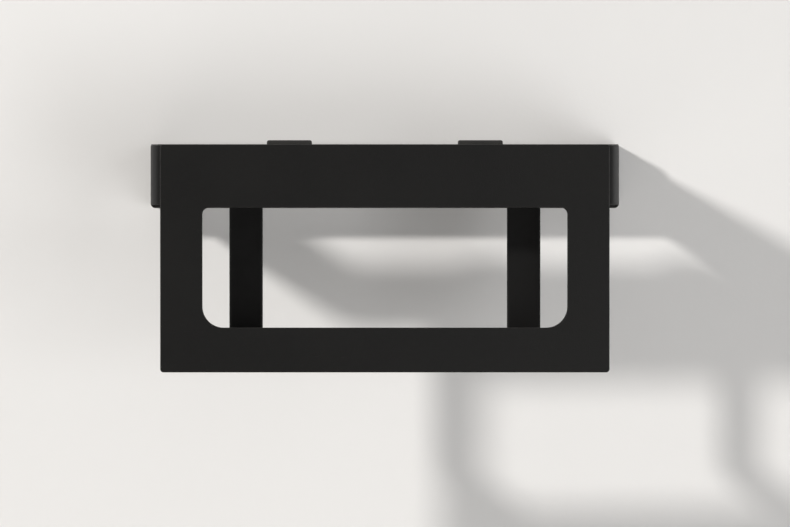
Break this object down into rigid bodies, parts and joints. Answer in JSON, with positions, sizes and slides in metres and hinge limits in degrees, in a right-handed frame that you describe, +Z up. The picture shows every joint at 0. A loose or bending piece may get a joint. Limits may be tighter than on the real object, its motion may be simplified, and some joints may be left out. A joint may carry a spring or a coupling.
{
  "type": "wall-mounted bike rack",
  "caption": "Fold-up wall rack with a windowed front plate and two rubber-sleeved hooks that cradle a bicycle's top tube.",
  "frame": {"origin": "on the back face of the wall bracket, half way between its ends, at the height of the fold's axis", "axes": "+X along the wall to the right as seen from the room, +Y into the wall, +Z up"},
  "size_m": [0.292, 0.25, 0.1375],
  "materials": {
    "black_powder_coat": "satin fine-texture black powder coat",
    "black_rubber": "matte moulded rubber",
    "eva_foam": "matte closed-cell foam",
    "black_oxide_steel": "black oxide",
    "zinc_steel": "bright zinc plate",
    "nylon": "natural nylon"
  },
  "bodies": {
    "bracket": {"wall_bracket": "black_powder_coat", "wall_screw_1": "black_oxide_steel", "wall_washer_1": "zinc_steel", "wall_screw_2": "black_oxide_steel", "wall_washer_2": "zinc_steel", "wall_screw_3": "black_oxide_steel", "wall_washer_3": "zinc_steel", "wall_screw_4": "black_oxide_steel", "wall_washer_4": "zinc_steel", "pivot_bolt_left": "black_oxide_steel", "pivot_nut_left": "black_oxide_steel", "pivot_washer_left": "zinc_steel", "pivot_friction_outer_left": "nylon", "pivot_friction_inner_left": "nylon", "pivot_bolt_right": "black_oxide_steel", "pivot_nut_right": "black_oxide_steel", "pivot_washer_right": "zinc_steel", "pivot_friction_outer_right": "nylon", "pivot_friction_inner_right": "nylon"},
    "folding_frame": {"arm_frame": "black_powder_coat", "front_plate": "black_powder_coat", "hook_left": "black_powder_coat", "sleeve_left": "black_rubber", "bumper_left": "black_rubber", "plate_pad_left": "eva_foam", "hook_bolt_left_1": "black_oxide_steel", "hook_nut_left_1": "black_oxide_steel", "plate_stud_left_1": "black_oxide_steel", "plate_nut_left_1": "black_oxide_steel", "hook_bolt_left_2": "black_oxide_steel", "hook_nut_left_2": "black_oxide_steel", "plate_stud_left_2": "black_oxide_steel", "plate_nut_left_2": "black_oxide_steel", "hook_right": "black_powder_coat", "sleeve_right": "black_rubber", "bumper_right": "black_rubber", "plate_pad_right": "eva_foam", "hook_bolt_right_1": "black_oxide_steel", "hook_nut_right_1": "black_oxide_steel", "plate_stud_right_1": "black_oxide_steel", "plate_nut_right_1": "black_oxide_steel", "hook_bolt_right_2": "black_oxide_steel", "hook_nut_right_2": "black_oxide_steel", "plate_stud_right_2": "black_oxide_steel", "plate_nut_right_2": "black_oxide_steel"}
  },
  "joints": [
    {"name": "fold", "type": "hinge", "parent": "bracket", "child": "folding_frame", "pos_m": [0, -0.0213, 0], "axis": [-1, 0, 0], "range_deg": [0, 90]}
  ]
}
